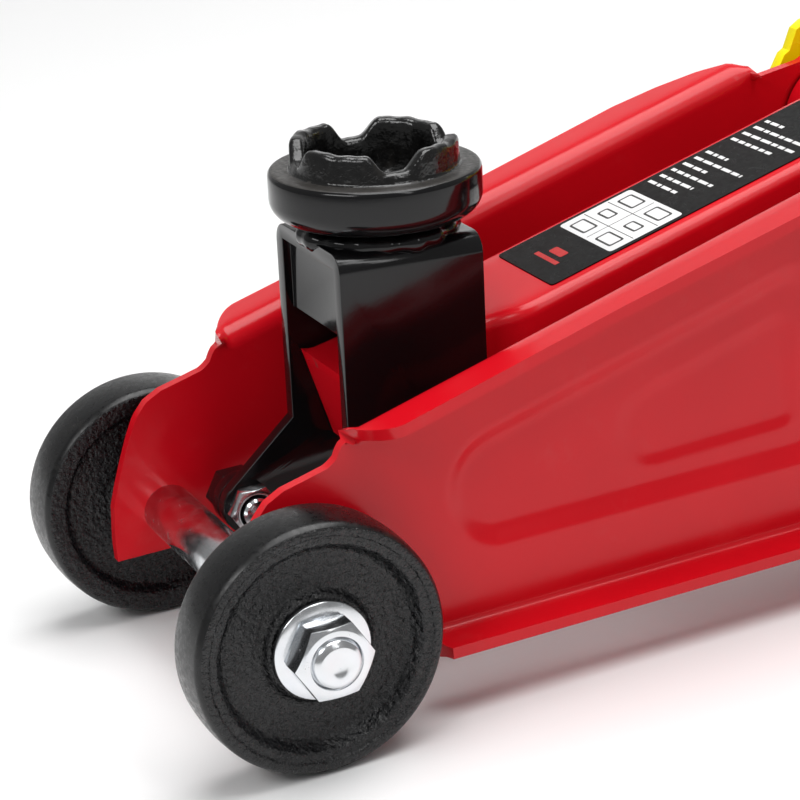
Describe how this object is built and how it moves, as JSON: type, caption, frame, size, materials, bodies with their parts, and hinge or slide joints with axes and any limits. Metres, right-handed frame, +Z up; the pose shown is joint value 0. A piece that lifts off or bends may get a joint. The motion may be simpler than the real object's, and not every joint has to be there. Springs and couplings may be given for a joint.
{
  "type": "trolley jack",
  "caption": "Compact red trolley jack with black cast front wheels, a low lift arm with a turning saddle, rear casters and a pump handle.",
  "frame": {"origin": "centre of the bounding box on the floor, with the handle raised and the arm down", "axes": "+Z up, -Y towards the front wheels and the saddle, +X to the right-hand side plate"},
  "size_m": [0.188, 0.5656, 0.4783],
  "materials": {
    "red_paint": "glossy stoving enamel over pressed steel",
    "black_enamel": "glossy black enamel",
    "black_cast": "black satin paint over rough casting, tread turned",
    "zinc": "bright zinc plate",
    "bright_steel": "machined steel",
    "yellow_paint": "glossy yellow enamel",
    "label_film": "printed vinyl film, black with plain white panels",
    "seal_rubber": "moulded nitrile rubber",
    "grip_foam": "matt foam rubber grip",
    "caster_black": "moulded nylon"
  },
  "bodies": {
    "frame": {"side_plate_right": "red_paint", "side_plate_left": "red_paint", "front_axle": "zinc", "axle_washers": "zinc", "axle_nuts": "zinc", "main_shaft": "zinc", "shaft_washers": "zinc", "shaft_nuts": "zinc", "link_pivot_bolts": "zinc", "spacer_tube": "zinc", "tie_bolt": "zinc", "rear_cross_plate": "red_paint", "caster_brackets": "red_paint", "king_pins": "zinc", "pump_block": "bright_steel", "rod_gland": "bright_steel", "inner_cylinder": "bright_steel", "reservoir": "red_paint", "reservoir_cap": "red_paint", "filler_plug": "black_enamel", "block_bolts": "zinc", "pump_sleeve": "zinc"},
    "wheel_right": {"front_wheel_right": "black_cast"},
    "wheel_left": {"front_wheel_left": "black_cast"},
    "fork_right": {"caster_fork_right": "zinc", "caster_axle_right": "zinc"},
    "fork_left": {"caster_fork_left": "zinc", "caster_axle_left": "zinc"},
    "roller_wheel_right": {"caster_wheel_right": "caster_black"},
    "roller_wheel_left": {"caster_wheel_left": "caster_black"},
    "arm": {"lift_arm": "red_paint", "arm_label": "label_film", "lever_pin": "bright_steel"},
    "bracket": {"saddle_bracket": "black_enamel", "bracket_pin": "black_enamel", "link_bolts": "black_enamel", "link_nuts": "zinc"},
    "saddle_cup": {"saddle": "black_enamel", "saddle_ring": "bright_steel"},
    "link_right": {"link_rod_right": "black_enamel"},
    "link_left": {"link_rod_left": "black_enamel"},
    "ram": {"piston_rod": "bright_steel", "piston": "bright_steel", "piston_seal": "seal_rubber", "ram_head": "bright_steel"},
    "handle": {"handle_yoke": "yellow_paint", "roller_pin": "zinc", "lock_screw": "zinc", "lower_handle": "black_enamel", "upper_handle": "black_enamel", "handle_grip": "grip_foam"},
    "pump_wheel": {"pump_roller": "bright_steel"},
    "plunger": {"pump_plunger": "bright_steel", "plunger_spring": "bright_steel"},
    "valve": {"release_valve": "zinc"}
  },
  "joints": [
    {"name": "wheel_right_spin", "type": "hinge", "parent": "frame", "child": "wheel_right", "pos_m": [0.056, -0.25034, 0.0325], "axis": [1, 0, 0], "continuous": true},
    {"name": "wheel_left_spin", "type": "hinge", "parent": "frame", "child": "wheel_left", "pos_m": [-0.056, -0.25034, 0.0325], "axis": [1, 0, 0], "continuous": true},
    {"name": "fork_right_swivel", "type": "hinge", "parent": "frame", "child": "fork_right", "pos_m": [0.078, 0.12466, 0.046], "axis": [0, 0, 1], "continuous": true},
    {"name": "fork_left_swivel", "type": "hinge", "parent": "frame", "child": "fork_left", "pos_m": [-0.078, 0.12466, 0.046], "axis": [0, 0, 1], "continuous": true},
    {"name": "caster_right_spin", "type": "hinge", "parent": "fork_right", "child": "roller_wheel_right", "pos_m": [0.078, 0.13666, 0.019], "axis": [1, 0, 0], "continuous": true},
    {"name": "caster_left_spin", "type": "hinge", "parent": "fork_left", "child": "roller_wheel_left", "pos_m": [-0.078, 0.13666, 0.019], "axis": [1, 0, 0], "continuous": true},
    {"name": "arm_lift", "type": "hinge", "parent": "frame", "child": "arm", "pos_m": [0, -0.03834, 0.1], "axis": [-1, 0, 0], "range_deg": [0, 84]},
    {"name": "bracket_level", "type": "hinge", "parent": "arm", "child": "bracket", "pos_m": [0, -0.20034, 0.06], "axis": [-1, 0, 0], "range_deg": [-84.5, 0.5]},
    {"name": "saddle_turn", "type": "hinge", "parent": "bracket", "child": "saddle_cup", "pos_m": [0, -0.19914, 0.111], "axis": [0, 0.0523, 0.9986], "continuous": true},
    {"name": "link_right_swing", "type": "hinge", "parent": "frame", "child": "link_right", "pos_m": [0.0388, -0.07384, 0.078], "axis": [-1, 0, 0], "range_deg": [-0.5, 84.5]},
    {"name": "link_left_swing", "type": "hinge", "parent": "frame", "child": "link_left", "pos_m": [-0.0388, -0.07384, 0.078], "axis": [-1, 0, 0], "range_deg": [-0.5, 84.5]},
    {"name": "ram_slide", "type": "slide", "parent": "frame", "child": "ram", "axis": [0, -1, 0], "range_m": [-0.0005, 0.06178]},
    {"name": "handle_pump", "type": "hinge", "parent": "frame", "child": "handle", "pos_m": [0, -0.03834, 0.1], "axis": [-1, 0, 0], "range_deg": [0, 30], "stiffness_Nm_per_rad": 6, "springref_deg": -34.38},
    {"name": "pump_wheel_spin", "type": "hinge", "parent": "handle", "child": "pump_wheel", "pos_m": [-0.017, 0.01099, 0.12196], "axis": [1, 0, 0], "continuous": true},
    {"name": "plunger_slide", "type": "slide", "parent": "frame", "child": "plunger", "axis": [0, 0, -1], "range_m": [-0.0005, 0.02788], "deforming": ["plunger_spring"]},
    {"name": "valve_turn", "type": "hinge", "parent": "frame", "child": "valve", "pos_m": [0.017, 0.03966, 0.074], "axis": [0, 0, 1], "range_deg": [0, 180]}
  ],
  "couplings": [
    {"joint": "bracket_level", "follows": "arm_lift", "ratio": -1},
    {"joint": "link_right_swing", "follows": "arm_lift", "ratio": 1},
    {"joint": "link_left_swing", "follows": "arm_lift", "ratio": 1},
    {"joint": "ram_slide", "follows": "arm_lift", "m_per_rad": 0.0418},
    {"joint": "plunger_slide", "follows": "handle_pump", "m_per_rad": 0.0523}
  ]
}
